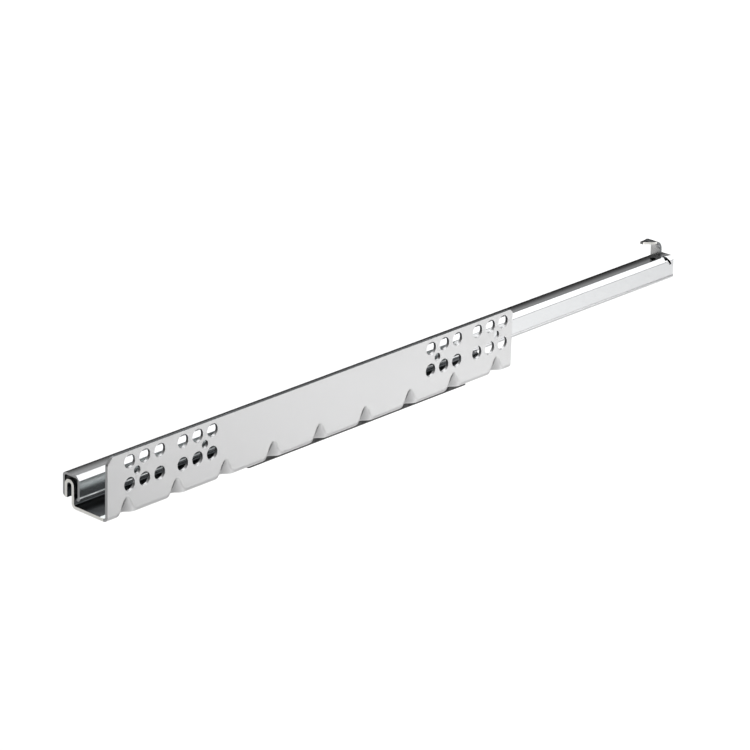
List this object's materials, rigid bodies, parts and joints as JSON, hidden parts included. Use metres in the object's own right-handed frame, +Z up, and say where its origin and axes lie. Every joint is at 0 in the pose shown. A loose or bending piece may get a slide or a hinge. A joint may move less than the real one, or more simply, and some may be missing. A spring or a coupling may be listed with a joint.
{
  "type": "under-mount drawer slide",
  "caption": "Concealed single-extension ball slide: L-shaped cabinet rail with a hook-shaped ball track, an inverted-U drawer rail with a rear hook, and a self-closing unit under the trough.",
  "frame": {"origin": "on the flange's outer face, halfway along the flange and 20 mm above the trough's underside", "axes": "+X from the slide's front end to its rear, +Y from the cabinet's side panel into the cabinet, +Z up"},
  "size_m": [0.4049, 0.0293, 0.0355],
  "materials": {
    "zinc_steel": "bright zinc-plated",
    "black_plastic": "matt moulded",
    "cage_plastic": "matt moulded",
    "grey_plastic": "matt moulded",
    "ball_steel": "polished",
    "pin_steel": "ground"
  },
  "bodies": {
    "cabinet_side": {"cabinet_rail": "zinc_steel", "front_stop": "black_plastic", "closer_housing": "black_plastic", "damper_cylinder": "grey_plastic"},
    "cage": {"ball_cage": "cage_plastic", "ball_near_01": "ball_steel", "ball_near_02": "ball_steel", "ball_near_03": "ball_steel", "ball_near_04": "ball_steel", "ball_near_05": "ball_steel", "ball_near_06": "ball_steel", "ball_near_07": "ball_steel", "ball_near_08": "ball_steel", "ball_near_09": "ball_steel", "ball_near_10": "ball_steel", "ball_near_11": "ball_steel", "ball_near_12": "ball_steel", "ball_far_01": "ball_steel", "ball_far_02": "ball_steel", "ball_far_03": "ball_steel", "ball_far_04": "ball_steel", "ball_far_05": "ball_steel", "ball_far_06": "ball_steel", "ball_far_07": "ball_steel", "ball_far_08": "ball_steel", "ball_far_09": "ball_steel", "ball_far_10": "ball_steel", "ball_far_11": "ball_steel", "ball_far_12": "ball_steel"},
    "drawer_side": {"drawer_rail": "zinc_steel", "rear_stop": "black_plastic", "activator_tab": "zinc_steel", "activator_rivet": "zinc_steel"},
    "catch": {"catch_slider": "grey_plastic", "damper_rod": "pin_steel", "pawl_pin": "pin_steel", "pull_spring": "pin_steel"},
    "pawl": {"catch_pawl": "black_plastic"}
  },
  "joints": [
    {"name": "drawer_slide", "type": "slide", "parent": "cabinet_side", "child": "drawer_side", "axis": [-1, 0, 0], "range_m": [0, 0.29]},
    {"name": "cage_slide", "type": "slide", "parent": "cabinet_side", "child": "cage", "axis": [-1, 0, 0], "range_m": [0, 0.145]},
    {"name": "catch_slide", "type": "slide", "parent": "cabinet_side", "child": "catch", "axis": [-1, 0, 0], "range_m": [0, 0.04], "stiffness_N_per_m": 150, "springref_m": -0.03, "deforming": ["pull_spring"]},
    {"name": "catch_tilt", "type": "hinge", "parent": "catch", "child": "pawl", "pos_m": [0.0522, 0.0183, -0.0225], "axis": [0, 1, 0], "range_deg": [0, 3.5]}
  ],
  "couplings": [
    {"joint": "cage_slide", "follows": "drawer_slide", "ratio": 0.5}
  ]
}
